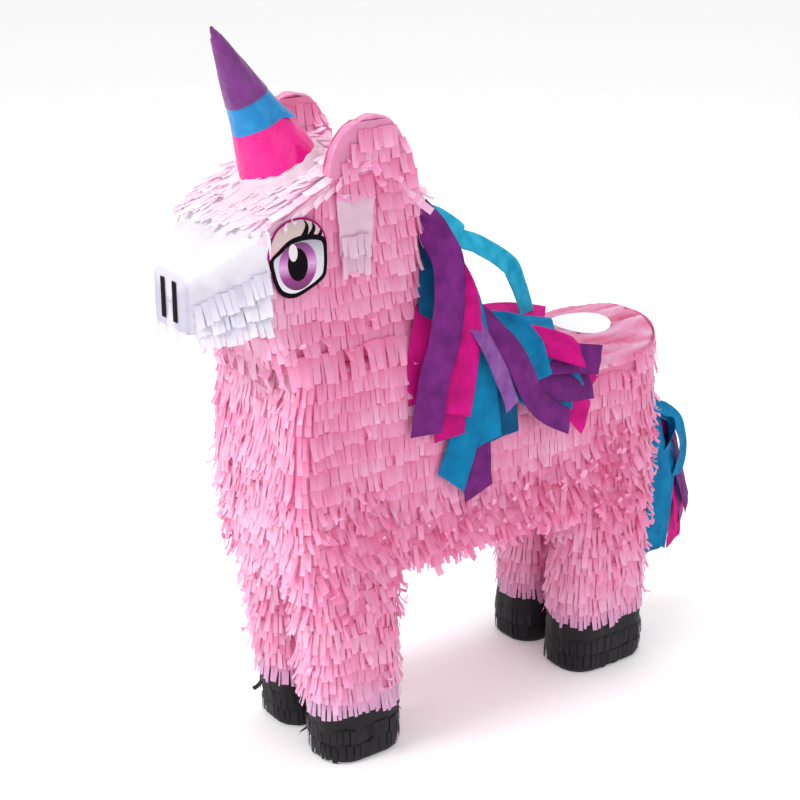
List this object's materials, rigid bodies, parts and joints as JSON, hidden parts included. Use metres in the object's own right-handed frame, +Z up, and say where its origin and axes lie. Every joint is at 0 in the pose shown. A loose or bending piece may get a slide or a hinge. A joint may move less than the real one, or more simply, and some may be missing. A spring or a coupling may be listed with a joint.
{
  "type": "unicorn pinata",
  "caption": "Standing unicorn pinata: a hollow card body dressed in cut tissue fringe, with a paper horn, streamer mane and tail, and a fill flap in its back.",
  "frame": {"origin": "middle of the bounding box's base, on the floor between the hooves; the animal's middle plane is at X = -10.7 mm because the mane hangs on its left side", "axes": "+Z up, -Y towards the nose, +X towards the animal's left side, where the mane falls"},
  "size_m": [0.1486, 0.5188, 0.56],
  "materials": {
    "card": "plain corrugated card",
    "pink_tissue": "cut tissue fringe",
    "white_tissue": "matte tissue",
    "black_tissue": "cut tissue fringe",
    "magenta_crepe": "crepe paper",
    "cyan_crepe": "crepe paper",
    "purple_crepe": "crepe paper",
    "label_paper": "semi-gloss sticker",
    "eye_print": "glossy printed sticker",
    "black_print": "matte"
  },
  "bodies": {
    "body": {"back_board": "card", "back_tissue": "pink_tissue", "belly_board": "card", "cheek_patch": "white_tissue", "chest_board": "card", "chest_fringe": "pink_tissue", "chin_board": "card", "chin_fringe": "pink_tissue", "crown_board": "card", "crown_fringe": "pink_tissue", "eye_stickers": "eye_print", "hanging_plate": "card", "head_board_left": "card", "head_board_right": "card", "head_fringe_left": "pink_tissue", "head_fringe_right": "pink_tissue", "hoof_fringe_front_left": "black_tissue", "hoof_fringe_front_right": "black_tissue", "hoof_fringe_hind_left": "black_tissue", "hoof_fringe_hind_right": "black_tissue", "hoof_sole_front_left": "black_tissue", "hoof_sole_front_right": "black_tissue", "hoof_sole_hind_left": "black_tissue", "hoof_sole_hind_right": "black_tissue", "horn_cone": "card", "horn_wrap_cyan": "cyan_crepe", "horn_wrap_magenta": "magenta_crepe", "horn_wrap_purple": "purple_crepe", "jaw_board": "card", "leg_fringe_front_left": "pink_tissue", "leg_fringe_front_right": "pink_tissue", "leg_fringe_hind_left": "pink_tissue", "leg_fringe_hind_right": "pink_tissue", "leg_tube_front_left": "card", "leg_tube_front_right": "card", "leg_tube_hind_left": "card", "leg_tube_hind_right": "card", "mane_arch_strip": "cyan_crepe", "mane_back_spread": "cyan_crepe", "mane_left_fall": "purple_crepe", "mane_root_bunch": "purple_crepe", "muzzle_paper": "white_tissue", "muzzle_shell": "card", "nape_board": "card", "nape_fringe": "pink_tissue", "neck_fringe": "pink_tissue", "neck_rear_board": "card", "nose_plate": "card", "nostril_strips": "black_print", "rump_board": "card", "rump_fringe": "pink_tissue", "side_board_left": "card", "side_board_right": "card", "tail_tie": "cyan_crepe", "torso_fringe_left": "pink_tissue", "torso_fringe_right": "pink_tissue"},
    "flap": {"fill_flap": "card", "flap_tissue": "pink_tissue", "fill_label": "label_paper"},
    "tail": {"tail_streamers": "cyan_crepe"}
  },
  "joints": [
    {"name": "fill_flap_hinge", "type": "hinge", "parent": "body", "child": "flap", "pos_m": [-0.0327, 0.11825, 0.29123], "axis": [0, -1, 0], "range_deg": [0, 120]},
    {"name": "tail_lift", "type": "hinge", "parent": "body", "child": "tail", "pos_m": [-0.0107, 0.18725, 0.238], "axis": [1, 0, 0], "range_deg": [0, 60]}
  ]
}
